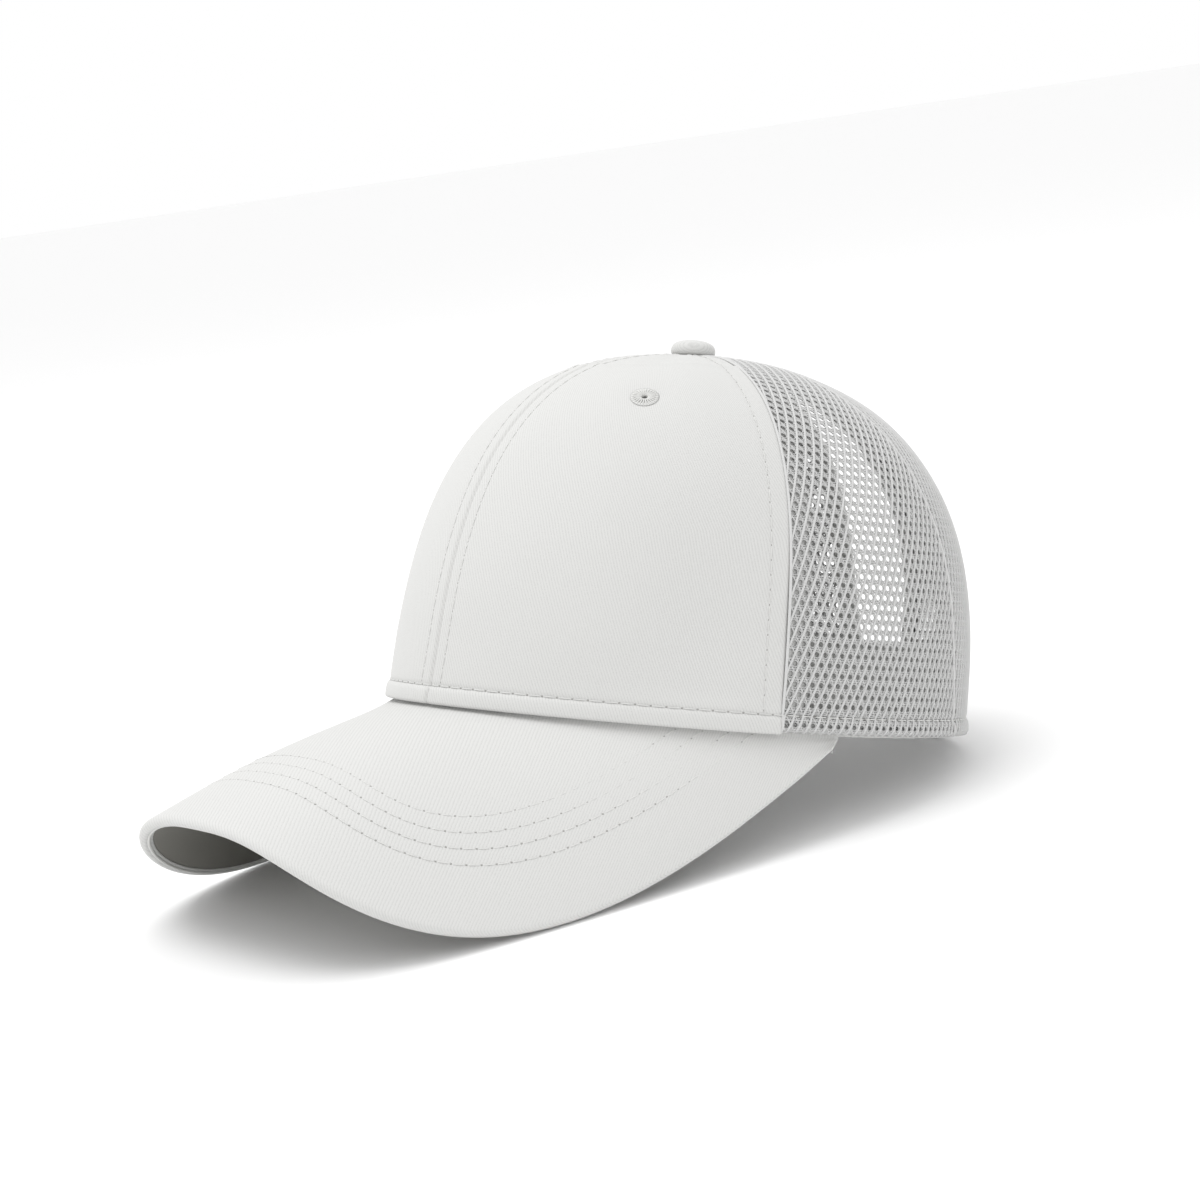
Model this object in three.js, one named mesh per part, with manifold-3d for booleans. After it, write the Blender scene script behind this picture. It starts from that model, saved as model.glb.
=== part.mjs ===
// White six-panel baseball cap with a net back and an upright opening for a ponytail.
// It rests by itself on a surface: on the two low sides of its visor and the back of its rim.
// Millimetres. The visor points along -Y, +Z is up, and left and right are as seen from the front:
// right is +X.
import * as THREE from 'three';
import Module from 'manifold-3d';
import { mergeVertices } from 'three/addons/utils/BufferGeometryUtils.js';

const wasm = await Module();
wasm.setup();

// The rim, seen from above: an ellipse that is narrower at the forehead
const RIM_HALF_WIDTH = 88.9;
const RIM_HALF_LENGTH = 99.2;
const FOREHEAD_TAPER = 0.105;
const RIM_FRONT_RISE = 1.8;
const RIM_RISE_POWER = 1.5;

// The crown above it
const CROWN_HEIGHT = 119.4;
const DOME_FULLNESS = 2.27;
// lean: how much of the way in is taken evenly from the rim up; shoulder: how square the profile turns
const FORM = {
  front: { lean: 0.141, shoulder: 3.54 },
  side: { lean: 0.024, shoulder: 2.94 },
  back: { lean: 0, shoulder: 3.21 },
};

// Cloth
const PANEL_WALL = 1.5;
const TAPE_WALL = 1;
const SWEATBAND_WALL = 1.4;
const BINDING_PROUD = 0.6;
const GAP = 0.3;
const HEM_HEIGHT = 5.5;
// How far the rolled hem stands out at its foot, half way up and at its top
const HEM_PROUD = [0.5, 0.8, 0];
const SWEATBAND_HEIGHT = 30;
const SEAM_TAPE_WIDTH = 17;

// Seams, as angles from the front round to the back
const FRONT_SEAM = { atRim: rad(73.8), atTop: rad(77.5) };
const BACK_SEAM = { atRim: rad(120), atTop: rad(112) };
const TAPE_HALF_ANGLE_MAX = rad(16);
const TOP_HOLE_RADIUS = 3;

// The ponytail opening: an almond up the centre of the back
const OPENING = { foot: 7, top: 146.5, halfWidth: 12.7, fullestAt: 0.69 };
const BINDING_WIDTH = 8;
const BINDING_ANGLE_MAX = rad(45);

// The visor: a sheet that falls forward and is arched across
const VISOR_REACH = 80;
const VISOR_CORNER = rad(86.5);
const VISOR_END_WIDTH = 4;
const VISOR_SPREAD = 1;
const VISOR_SQUARENESS = 3.47;
const VISOR_FALL = 144;
const VISOR_ARCH_AT_CORNERS = 77.5;
const VISOR_ARCH_AT_TIP = 109.9;
const VISOR_ARCH_POWER = 3;
const VISOR_CROWNING = 3.4;
const VISOR_COVER = 1.6;
const VISOR_ROOT_INSET = 2.6;
// Its thickness is set off along the sheet's direction a little way in from the edges
const VISOR_STEADY = { across: 0.94, rootward: 0.1, edgeward: 0.9 };

// Trim
const BUTTON = {
  radius: 7.5, height: 5.5, edge: 1.6, roundness: 0.55, shankRadius: 2.4, shankLength: 3.5, sides: 24,
};
const EYELET = { angle: rad(40.3), up: 108, radius: 4.6, hole: 1, proud: 0.5, bevel: 0.5, sides: 18 };

// Faces across and up each kind of piece
const GRID = {
  front: { across: 12, rows: 18 },
  side: { across: 7, rows: 18 },
  back: { across: 9, rows: 22 },
  binding: { across: 2, rows: 22 },
  tape: { across: 2, rows: 18 },
  sweatband: { across: 54, rows: 2 },
  visor: { across: 40, rows: 7 },
};
const LENGTH_STEPS = 400;

const CLOTH = { color: 0xf4f3f0, roughness: 0.9, metalness: 0 };
const NET = { color: 0xeeeeec, roughness: 0.85, metalness: 0 };
const UNDERSIDE = { color: 0xe2e2e2, roughness: 0.9, metalness: 0 };

function rad(degrees) {
  return THREE.MathUtils.degToRad(degrees);
}

function mix(a, b, share) {
  return a + (b - a) * share;
}

// A value of the crown's form at an angle, eased between front, side and back
function around(name, angle) {
  const { front, side, back } = FORM;
  const c = Math.cos(angle);
  const swing = (front[name] - back[name]) / 2;
  const spread = (front[name] + back[name]) / 2 - side[name];
  return side[name] + swing * c + spread * c * c;
}

// The same curve, followed by its length: at(length) gives back the curve's own value there.
// Samples crowd at the start, where the crown's profiles climb fastest.
function byLength(curve) {
  const values = [0];
  const lengths = [0];
  let last = curve(0);
  for (let i = 1; i <= LENGTH_STEPS; i += 1) {
    const value = (i / LENGTH_STEPS) ** 2;
    const point = curve(value);
    values.push(value);
    lengths.push(lengths[i - 1] + point.distanceTo(last));
    last = point;
  }
  const total = lengths[LENGTH_STEPS];
  const at = (length) => {
    let i = lengths.findIndex((each) => each >= length);
    if (i < 0) i = LENGTH_STEPS;
    if (i < 1) i = 1;
    const share = (length - lengths[i - 1]) / (lengths[i] - lengths[i - 1]);
    return mix(values[i - 1], values[i], Math.min(share, 1));
  };
  return { total, at };
}

function rimPoint(angle, depth) {
  const c = Math.cos(angle);
  const x = (RIM_HALF_WIDTH - depth) * Math.sin(angle) * (1 - FOREHEAD_TAPER * c);
  return new THREE.Vector3(x, -(RIM_HALF_LENGTH - depth) * c, rimHeight(angle));
}

// The rim lifts a little over the visor
function rimHeight(angle) {
  const fromFront = Math.abs(Math.atan2(Math.sin(angle), Math.cos(angle)));
  if (fromFront >= VISOR_CORNER) return 0;
  return RIM_FRONT_RISE * Math.cos((fromFront / VISOR_CORNER) * (Math.PI / 2)) ** RIM_RISE_POWER;
}

// A point of the crown at an angle round it, turned up from the rim (0) to the apex (1)
function crownAt(angle, turn, depth) {
  const bend = (turn * Math.PI) / 2;
  const lean = around('lean', angle);
  const climb = Math.sin(bend) ** (2 / around('shoulder', angle));
  const dome = Math.max(Math.cos(bend), 0) ** (2 / DOME_FULLNESS);
  const reach = (1 - lean) * dome + lean * (1 - climb);
  const rim = rimPoint(angle, depth);
  const height = mix(rim.z, CROWN_HEIGHT - depth, climb);
  return new THREE.Vector3(rim.x * reach, rim.y * reach, height);
}

const profiles = new Map();

function profile(angle) {
  const key = angle.toFixed(7);
  if (!profiles.has(key)) profiles.set(key, byLength((turn) => crownAt(angle, turn, 0)));
  return profiles.get(key);
}

// A point of the crown at a length up the cloth from the rim, depth below its outer face
function crownPoint(angle, up, depth) {
  return crownAt(angle, profile(angle).at(up), depth);
}

function profileEnd(angle) {
  return profile(angle).total - TOP_HOLE_RADIUS;
}

// Rows of a panel: a few up the hem, the others evenly up the rest
function rowHeight(angle, row, rows) {
  const hemRows = HEM_PROUD.length - 1;
  if (row <= hemRows) return (HEM_HEIGHT * row) / hemRows;
  return mix(HEM_HEIGHT, profileEnd(angle), (row - hemRows) / (rows - hemRows));
}

function hemDepth(row) {
  return -(HEM_PROUD[row] ?? 0);
}

// How far a point of the crown is from its upright axis
function distanceOut(angle, up) {
  const point = crownPoint(angle, up, 0);
  return Math.hypot(point.x, point.y);
}

// The angle that a width along the cloth takes up at this height
function angleOf(width, angle, up, most) {
  return Math.min(Math.asin(Math.min(width / distanceOut(angle, up), 1)), most);
}

const frontSeam = (share) => mix(FRONT_SEAM.atRim, FRONT_SEAM.atTop, share);
const backSeam = (share) => mix(BACK_SEAM.atRim, BACK_SEAM.atTop, share);

function openingHalfWidth(up) {
  const share = (up - OPENING.foot) / (OPENING.top - OPENING.foot);
  if (share <= 0 || share >= 1) return 0;
  return OPENING.halfWidth * Math.sin(Math.PI * share ** OPENING.fullestAt);
}

// Angle from the front to a line that runs up beside the opening, this far outside its edge
function besideOpening(outside, up) {
  const most = BINDING_ANGLE_MAX + Math.max(outside - BINDING_WIDTH, 0) / distanceOut(Math.PI, up);
  return Math.PI - angleOf(openingHalfWidth(up) + outside, Math.PI, up, most);
}

// A closed wall between two faces. face(u, v, inner) gives a point for u and v from 0 to 1.
function wall(across, rows, face) {
  const columns = across + 1;
  const layer = columns * (rows + 1);
  const positions = [];
  for (const inner of [false, true]) {
    for (let row = 0; row <= rows; row += 1) {
      for (let column = 0; column < columns; column += 1) {
        positions.push(...face(column / across, row / rows, inner, row).toArray());
      }
    }
  }
  const quads = [];
  const at = (column, row, inner) => (inner ? layer : 0) + row * columns + column;
  for (let row = 0; row < rows; row += 1) {
    for (let column = 0; column < across; column += 1) {
      const ring = [[column, row], [column + 1, row], [column + 1, row + 1], [column, row + 1]];
      quads.push(ring.map(([c, r]) => at(c, r, false)));
      const [first, second, third, fourth] = ring.map(([c, r]) => at(c, r, true));
      quads.push([first, fourth, third, second]);
    }
  }
  const border = (c0, r0, c1, r1) => {
    quads.push([at(c1, r1, false), at(c0, r0, false), at(c0, r0, true), at(c1, r1, true)]);
  };
  for (let column = 0; column < across; column += 1) {
    border(column, 0, column + 1, 0);
    border(column + 1, rows, column, rows);
  }
  for (let row = 0; row < rows; row += 1) {
    border(across, row, across, row + 1);
    border(0, row + 1, 0, row);
  }
  const index = quads.flatMap(([a, b, c, d]) => [a, b, c, a, c, d]);
  return facingOut(positions, index);
}

function facingOut(positions, index) {
  const geometry = new THREE.BufferGeometry();
  geometry.setAttribute('position', new THREE.Float32BufferAttribute(positions, 3));
  geometry.setIndex(volumeOf(positions, index) < 0 ? index.toReversed() : index);
  geometry.computeVertexNormals();
  return geometry;
}

function volumeOf(positions, index) {
  const corner = (i) => new THREE.Vector3().fromArray(positions, index[i] * 3);
  let sum = 0;
  for (let i = 0; i < index.length; i += 3) sum += corner(i).dot(corner(i + 1).cross(corner(i + 2)));
  return sum / 6;
}

// A panel of the crown on one side of the cap, between two edges given as angles at (share, up)
function crownPanel(side, grid, from, to) {
  return wall(grid.across, grid.rows, (u, v, inner, row) => {
    const edges = [from, to].map((edge) => edge(v, rowHeight(edge(v, 0, 0), row, grid.rows), 1));
    const angle = mix(...edges, u);
    const depth = inner ? PANEL_WALL : hemDepth(row);
    return sided(crownPoint(angle, rowHeight(angle, row, grid.rows), depth), side);
  });
}

function sided(point, side) {
  return point.set(point.x * side, point.y, point.z);
}

// A seam line drawn off to one side by half a gap
function besideSeam(angle, up, toBack) {
  return angle + (toBack * GAP) / 2 / distanceOut(angle, up);
}

function frontPanel(side) {
  const centre = (share, up, gaps) => besideSeam(0, up, gaps);
  const seam = (share, up, gaps) => besideSeam(frontSeam(share), up, -gaps);
  return pierced(crownPanel(side, GRID.front, centre, seam), side);
}

function sideMesh(side) {
  const front = (share, up, gaps) => besideSeam(frontSeam(share), up, gaps);
  const back = (share, up, gaps) => besideSeam(backSeam(share), up, -gaps);
  return crownPanel(side, GRID.side, front, back);
}

function backMesh(side) {
  const front = (share, up, gaps) => besideSeam(backSeam(share), up, gaps);
  const back = (share, up, gaps) => (gaps ? besideOpening(BINDING_WIDTH + GAP, up) : Math.PI);
  return crownPanel(side, GRID.back, front, back);
}

// The tape that edges the opening, and runs on above and below it beside its twin
function binding(side) {
  const { across, rows } = GRID.binding;
  return wall(across, rows, (u, v, inner, row) => {
    const up = rowHeight(Math.PI, row, rows);
    const angle = mix(besideOpening(BINDING_WIDTH, up), besideOpening(GAP / 2, up), u);
    const outer = Math.min(hemDepth(row), -bindingProud(up));
    const depth = inner ? PANEL_WALL + BINDING_PROUD : outer;
    return sided(crownPoint(angle, rowHeight(angle, row, rows), depth), side);
  });
}

// The tape stands proud of the net, and flattens where the button presses on it
function bindingProud(up) {
  const fromButton = profileEnd(Math.PI) - up - BUTTON.radius;
  return BINDING_PROUD * THREE.MathUtils.clamp(fromButton / BUTTON.radius, 0, 1);
}

// A tape laid over a seam on the inside
function seamTape(side, seam) {
  const { across, rows } = GRID.tape;
  return wall(across, rows, (u, v, inner) => {
    const middle = seam(v);
    const up = mix(HEM_HEIGHT, profileEnd(middle) - BUTTON.radius, v);
    const half = angleOf(SEAM_TAPE_WIDTH / 2, middle, up, TAPE_HALF_ANGLE_MAX);
    const depth = PANEL_WALL + GAP + (inner ? TAPE_WALL : 0);
    return sided(crownPoint(mix(middle - half, middle + half, u), up, depth), side);
  });
}

function sweatband() {
  const { across, rows } = GRID.sweatband;
  const face = PANEL_WALL + GAP + TAPE_WALL + GAP;
  return wall(across, rows, (u, v, inner) => {
    const up = mix(GAP, SWEATBAND_HEIGHT, v);
    const end = besideOpening(BINDING_WIDTH / 2, up);
    return crownPoint(mix(-end, end, u), up, face + (inner ? SWEATBAND_WALL : 0));
  });
}

// The visor's outer edge, seen from above, and how high it runs
const CORNER = rimPoint(VISOR_CORNER, 0);
const TIP_Y = -(RIM_HALF_LENGTH + VISOR_REACH);

function visorEdge() {
  const halfWidth = CORNER.x + VISOR_SPREAD;
  const endX = CORNER.x / halfWidth;
  const depth = (CORNER.y - TIP_Y) / (1 - (1 - endX ** VISOR_SQUARENESS) ** (1 / VISOR_SQUARENESS));
  const power = 2 / VISOR_SQUARENESS;
  const point = (turn) => {
    const x = halfWidth * Math.sin(turn) ** power;
    const y = TIP_Y + depth * (1 - Math.cos(turn) ** power);
    return new THREE.Vector3(x, y, visorEdgeHeight(x, y));
  };
  const corner = Math.asin(endX ** (1 / power));
  const last = lastBefore(corner, (turn) => point(turn).y, CORNER.y - VISOR_END_WIDTH);
  return (share) => point(last * share);
}

// The largest turn up to the limit at which a rising value is still under its ceiling
function lastBefore(limit, value, ceiling) {
  let low = 0;
  let high = limit;
  for (let i = 0; i < 40; i += 1) {
    const middle = (low + high) / 2;
    if (value(middle) < ceiling) low = middle;
    else high = middle;
  }
  return low;
}

function visorEdgeHeight(x, y) {
  const forward = (CORNER.y - y) / (CORNER.y - TIP_Y);
  const arch = mix(VISOR_ARCH_AT_CORNERS, VISOR_ARCH_AT_TIP, forward);
  return arch * (1 - (x / CORNER.x) ** VISOR_ARCH_POWER) - VISOR_FALL * forward;
}

const flat = (curve) => (share) => curve(share).setZ(0);
const edgeCurve = visorEdge();
const rootCurve = (share) => rimPoint(VISOR_CORNER * share, VISOR_ROOT_INSET);
const edgeByLength = byLength(flat(edgeCurve));
const rootByLength = byLength(flat(rootCurve));

// A point of the visor's upper face: across from -1 to 1, out from the rim (0) to the edge (1)
function visorTop(across, out) {
  const share = Math.abs(across);
  const root = rootCurve(rootByLength.at(share * rootByLength.total));
  root.z -= GAP;
  const point = root.lerp(edgeCurve(edgeByLength.at(share * edgeByLength.total)), out);
  point.z += VISOR_CROWNING * Math.cos((across * Math.PI) / 2) * Math.sin(out * Math.PI);
  return sided(point, Math.sign(across) || 1);
}

function visorNormal(across, out) {
  const step = 0.02;
  const u = THREE.MathUtils.clamp(across, -VISOR_STEADY.across, VISOR_STEADY.across);
  const v = THREE.MathUtils.clamp(out, VISOR_STEADY.rootward, VISOR_STEADY.edgeward);
  const sideways = visorTop(u + step, v).sub(visorTop(u - step, v));
  const outward = visorTop(u, v + step).sub(visorTop(u, v - step));
  const normal = outward.cross(sideways).normalize();
  return normal.z < 0 ? normal.negate() : normal;
}

function visorPoint(across, out, depth) {
  return visorTop(across, out).addScaledVector(visorNormal(across, out), -depth);
}

function visorCover(top) {
  const { across, rows } = GRID.visor;
  return wall(across, rows, (u, v, inner) => visorPoint(mix(-1, 1, u), v, top + (inner ? VISOR_COVER : 0)));
}

// A ring or knob turned round the upright axis
function turned(outline, sides) {
  const geometry = new THREE.LatheGeometry(outline.map(([r, z]) => new THREE.Vector2(r, z)), sides);
  geometry.rotateX(Math.PI / 2);
  return welded(geometry);
}

function welded(geometry) {
  geometry.deleteAttribute('normal');
  geometry.deleteAttribute('uv');
  const merged = mergeVertices(geometry, 1e-4);
  const index = [...merged.index.array];
  const kept = [];
  for (let i = 0; i < index.length; i += 3) {
    const [a, b, c] = index.slice(i, i + 3);
    if (a !== b && b !== c && c !== a) kept.push(a, b, c);
  }
  return facingOut([...merged.attributes.position.array], kept);
}

function button() {
  const { radius, height, edge, roundness, shankRadius, shankLength, sides } = BUTTON;
  const outline = [[0, -shankLength], [shankRadius, -shankLength], [shankRadius, 0], [radius - edge / 2, 0]];
  const domeSteps = 7;
  for (let i = 0; i <= domeSteps; i += 1) {
    const turn = (i / domeSteps) * (Math.PI / 2);
    outline.push([radius * Math.cos(turn) ** roundness, edge + (height - edge) * Math.sin(turn)]);
  }
  outline[outline.length - 1][0] = 0;
  const geometry = turned(outline, sides);
  geometry.translate(0, 0, CROWN_HEIGHT + GAP);
  return geometry;
}

// The place and outward direction of the eyelet on one front panel
function eyeletSeat(side) {
  const at = (angle, up) => sided(crownPoint(angle, up, 0), side);
  const centre = at(EYELET.angle, EYELET.up);
  const step = 0.01;
  const round = at(EYELET.angle + step, EYELET.up).sub(centre);
  const up = at(EYELET.angle, EYELET.up + 1).sub(centre);
  const out = round.cross(up).normalize();
  if (out.z < 0) out.negate();
  const turn = new THREE.Quaternion().setFromUnitVectors(new THREE.Vector3(0, 0, 1), out);
  return new THREE.Matrix4().compose(centre, turn, new THREE.Vector3(1, 1, 1));
}

function eyelet(side) {
  const { radius, hole, proud, bevel, sides } = EYELET;
  const low = -(PANEL_WALL + proud);
  const outline = [[hole, low], [radius - bevel, low], [radius, low + bevel], [radius, proud - bevel],
    [radius - bevel, proud], [hole + bevel, proud], [hole, proud - bevel], [hole, low]];
  return turned(outline, sides).applyMatrix4(eyeletSeat(side));
}

// A front panel with the hole that its eyelet fills
function pierced(geometry, side) {
  const radius = EYELET.radius + GAP;
  const drill = new THREE.CylinderGeometry(radius, radius, 6 * PANEL_WALL, EYELET.sides);
  drill.rotateX(Math.PI / 2);
  const cut = solidOf(geometry).subtract(solidOf(welded(drill).applyMatrix4(eyeletSeat(side))));
  const mesh = cut.getMesh();
  return facingOut([...mesh.vertProperties], [...mesh.triVerts]);
}

function solidOf(geometry) {
  return new wasm.Manifold(new wasm.Mesh({
    numProp: 3,
    vertProperties: new Float32Array(geometry.attributes.position.array),
    triVerts: new Uint32Array(geometry.index.array),
  }));
}

const cap = new THREE.Group();

function add(name, geometry, finish) {
  const mesh = new THREE.Mesh(geometry, new THREE.MeshStandardMaterial(finish));
  mesh.name = name;
  cap.add(mesh);
}

for (const [word, side] of [['left', -1], ['right', 1]]) {
  add(`front_panel_${word}`, frontPanel(side), CLOTH);
  add(`side_mesh_${word}`, sideMesh(side), NET);
  add(`back_mesh_${word}`, backMesh(side), NET);
  add(`binding_${word}`, binding(side), CLOTH);
  add(`side_tape_${word}`, seamTape(side, frontSeam), CLOTH);
  add(`back_tape_${word}`, seamTape(side, backSeam), CLOTH);
  add(`eyelet_${word}`, eyelet(side), CLOTH);
}
add('sweatband', sweatband(), CLOTH);
add('visor_top', visorCover(0), CLOTH);
add('visor_under', visorCover(VISOR_COVER + GAP), UNDERSIDE);
add('button', button(), CLOTH);

// How far the cap leans back when its visor and the back of its rim touch a surface
function restLean() {
  const heel = RIM_HALF_LENGTH + HEM_PROUD[0];
  const under = cap.getObjectByName('visor_under').geometry.attributes.position;
  let lean = 0;
  for (let i = 0; i < under.count; i += 1) {
    lean = Math.max(lean, Math.atan2(-under.getZ(i), heel - under.getY(i)));
  }
  return lean;
}

// The cap leaned back at rest, with the middle of its foot at the origin
const rested = new THREE.Group();
cap.rotation.x = -restLean();
rested.add(cap);
rested.updateMatrixWorld(true);
const box = new THREE.Box3().setFromObject(cap, true);
cap.position.set(0, -(box.min.y + box.max.y) / 2, -box.min.z);

export default rested;
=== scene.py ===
import math

import bmesh
import bpy
import numpy as np
from mathutils import Euler, Matrix, Vector


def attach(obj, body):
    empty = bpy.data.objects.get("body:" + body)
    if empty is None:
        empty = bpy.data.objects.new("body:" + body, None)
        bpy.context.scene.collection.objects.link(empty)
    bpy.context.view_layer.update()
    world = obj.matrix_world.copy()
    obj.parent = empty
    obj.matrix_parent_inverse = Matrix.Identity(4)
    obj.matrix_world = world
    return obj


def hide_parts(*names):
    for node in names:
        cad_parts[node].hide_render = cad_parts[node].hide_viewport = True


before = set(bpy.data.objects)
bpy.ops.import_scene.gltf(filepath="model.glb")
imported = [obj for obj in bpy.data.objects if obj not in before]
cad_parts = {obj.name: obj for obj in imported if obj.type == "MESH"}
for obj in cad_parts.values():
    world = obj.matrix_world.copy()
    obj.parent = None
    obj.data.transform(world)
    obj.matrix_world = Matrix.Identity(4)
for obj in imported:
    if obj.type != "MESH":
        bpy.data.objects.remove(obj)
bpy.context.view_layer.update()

# The cap is worked out in its own upright frame, in millimetres: rim level at z 0, visor
# along -y, +x to the right as seen from the front. REST leans it back as it lies on a surface.
MM = 0.001
LEAN = math.radians(15.4113)
REST_AT = (0.0, 37.6473, 26.5220)

# The crown's form
RIM_HALF_WIDTH = 88.9
RIM_HALF_LENGTH = 99.2
FOREHEAD_TAPER = 0.105
RIM_FRONT_RISE = 1.8
RIM_RISE_POWER = 1.5
CROWN_HEIGHT = 119.4
DOME_FULLNESS = 2.27
FORM = {
    "lean": {"front": 0.141, "side": 0.024, "back": 0.0},
    "shoulder": {"front": 3.54, "side": 2.94, "back": 3.21},
}
TOP_HOLE_RADIUS = 3.0

# Seams, as angles from the front round to the back
FRONT_SEAM = (math.radians(73.8), math.radians(77.5))
BACK_SEAM = (math.radians(120), math.radians(112))
TAPE_HALF_ANGLE_MAX = math.radians(16)
SEAM_TAPE_WIDTH = 17.0
SEAM_TAPE_CLOTH = 0.7
SEAM_TAPE_DEPTH = 1.25
SEAM_TAPE_FOOT = 3.0
SEAM_TAPE_SHORT_OF_TOP = 4.5
SEAM_LENGTH_ABOUT = 165.0

# The ponytail opening and the tapes that edge it
OPENING_FOOT = 7.0
OPENING_TOP = 146.5
OPENING_HALF_WIDTH = 12.7
OPENING_FULLEST_AT = 0.69
BINDING_WIDTH = 8.0
BINDING_ANGLE_MAX = math.radians(45)
BINDING_CLOTH = 0.45
BINDING_STITCHES_OUTSIDE = 6.9

# The visor
VISOR_REACH = 80.0
VISOR_CORNER = math.radians(86.5)
VISOR_END_WIDTH = 4.0
VISOR_SPREAD = 1.0
VISOR_SQUARENESS = 3.47
VISOR_FALL = 144.0
VISOR_ARCH_AT_CORNERS = 77.5
VISOR_ARCH_AT_TIP = 109.9
VISOR_ARCH_POWER = 3
VISOR_CROWNING = 3.4
VISOR_ROOT_INSET = 2.6
VISOR_THICKNESS = 3.5
VISOR_CLOTH = {"cover": 0.8, "lining": 0.6}
VISOR_TUCK = 1.6
VISOR_WALL_SHARE = 0.012
VISOR_ROOT_TURN_UP = 6.0
# Shares of the cover's rows: turned up at the root, over the top, round the lip and tucked under
VISOR_COVER_SHARES = ((0, 0.03), (0.03, 0.80), (0.80, 0.94), (0.94, 1.0))
VISOR_STEADY = {"across": 0.94, "rootward": 0.1, "edgeward": 0.9}
VISOR_ROWS_FROM_EDGE = (24.3, 29.9, 35.5, 41.1)

# Cloth, hems and thread
GAP = 0.3
COTTON_WALL = 0.9
HEM_FOLD_RADIUS = 1.0
HEM_PROUD = 0.8
HEM_STITCHES_UP = 5.9
HEM_TURN = 7.0
HEM_TOP = 9.0
HEM_SHARE_OF_ROWS = 0.24
SWEATBAND_HEIGHT = 30.0
SWEATBAND_DEPTH = 3.1
SWEATBAND_CLOTH = 0.35
SWEATBAND_FOLD_RADIUS = 0.6
CENTRE_TOPSTITCH = 4.9
SIDE_TOPSTITCH = 6.2
THREAD_WIDTH = 0.42
THREAD_HEIGHT = 0.3
STITCH_LENGTH = {"hem": 4.7, "centre": 4.4, "side": 4.6, "binding": 3.2, "visor": 4.5}
# One stitch from hole to hole: its points' shares of the way, and their rise (mm)
STITCH_AT = np.array([0.06, 0.2, 0.5, 0.8, 0.94])
STITCH_RISE = np.array([-0.32, 0.06, 0.14, 0.06, -0.32])
STITCHED_FROM_TO = {"seams": (7, 163), "binding": (2, 166)}
# The needle holes are small dark discs of painted shadow; these are their sizes.
NEEDLE_HOLE_LENGTH = 0.56
NEEDLE_HOLE_WIDTH = 0.5
NEEDLE_HOLE_HEIGHT = 0.12

# The crease across the front panels: angles from the front, and turns up from the rim
CREASE_ANGLES = np.radians([0, 10, 26, 38, 57.5, 69.5, 80])
CREASE_TURNS = (0.700, 0.704, 0.724, 0.745, 0.770, 0.774, 0.775)

# The net: three families of strands, with a loop round each hole, in staggered rows
NET_PITCH = 2.95
NET_ROW = 3.1
NET_ROWS_TURNED_IN = 3
NET_TALLEST = 184.0
NET_REACH = 46.0
NET_LEAST_GIRTH = 8.0
NET_STRANDS = {
    "rising": {"slope": 1, "width": 0.78, "height": 0.9, "depth": 0.3, "sides": 5},
    "falling": {"slope": -1, "width": 0.55, "height": 0.8, "depth": 0.6, "sides": 5},
    "level": {"slope": 0, "width": 0.6, "height": 0.8, "depth": 0.65, "sides": 4},
}
NET_EDGE = {"width": 1.0, "height": 0.9, "depth": 0.3}
NET_LOOP = {"across": 1.02, "up": 1.1, "width": 0.52, "height": 0.8, "depth": 0.55, "steps": 8, "sides": 3}
NET_LOOP_ROOM = 1.3
NET_SHORT_OF_BUTTON = {"strand": 1.0, "loop": 7.0}

# The eyelets
EYELET_ANGLE = math.radians(40.3)
EYELET_UP = 108.0
EYELET_CUT = 2.6
EYELET_STITCHES = 24
# One radial stitch: distances out from the middle of the hole (mm), and rises (mm)
EYELET_STITCH_OUT = np.array([1.05, 1.25, 2.0, 3.0, 3.9, 4.35])
EYELET_STITCH_RISE = np.array([-0.8, -0.15, 0.12, 0.12, -0.12, -0.65])
# The rings under the stitches: radius, rise and width (mm)
EYELET_RINGS = ((1.35, -0.55, 0.8), (3.0, -0.25, 3.2), (3.0, -1.9, 3.2), (1.35, -1.3, 0.8))

# The studio: the floor's radius (m), the lamp and the camera, whose place is in the cap's own frame
FLOOR_RADIUS = 60
LAMP_AT = (-0.35, -0.35, 1.9)
LAMP_AIMED_AT = (0, 0.03, 0.07)
LAMP_SIZE = 1.2
LAMP_POWER = 15
CAMERA_AT = (647.594, -567.087, 39.585)
CAMERA_TURN = (89.8155, -3.6981, 50.4982)
CAMERA_LENS = 77.94


def mix(a, b, share):
    return a + (b - a) * share


def smooth(low, high, value):
    """0 below low, 1 above high, eased between."""
    share = np.clip((value - low) / (high - low), 0, 1)
    return share * share * (3 - 2 * share)


def hump(value, centre, width):
    """1 at the centre, falling away softly over the width."""
    return np.exp(-(((value - centre) / width) ** 2))


def unit(vectors):
    return vectors / np.maximum(np.linalg.norm(vectors, axis=-1, keepdims=True), 1e-9)


# The crown's surface

def around(name, angle):
    """A value of the crown's form at an angle, eased between front, side and back."""
    front, side, back = (FORM[name][where] for where in ("front", "side", "back"))
    c = np.cos(angle)
    return side + (front - back) / 2 * c + ((front + back) / 2 - side) * c * c


def from_front(angle):
    return np.abs(np.arctan2(np.sin(angle), np.cos(angle)))


def rim_height(angle):
    """The rim lifts a little over the visor."""
    over_visor = np.clip(from_front(angle) / VISOR_CORNER, 0, 1)
    return RIM_FRONT_RISE * np.maximum(np.cos(over_visor * math.pi / 2), 0) ** RIM_RISE_POWER


def rim_point(angle, depth):
    c = np.cos(angle)
    x = (RIM_HALF_WIDTH - depth) * np.sin(angle) * (1 - FOREHEAD_TAPER * c)
    return np.stack([x, -(RIM_HALF_LENGTH - depth) * c, rim_height(angle) + 0 * x], -1)


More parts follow.
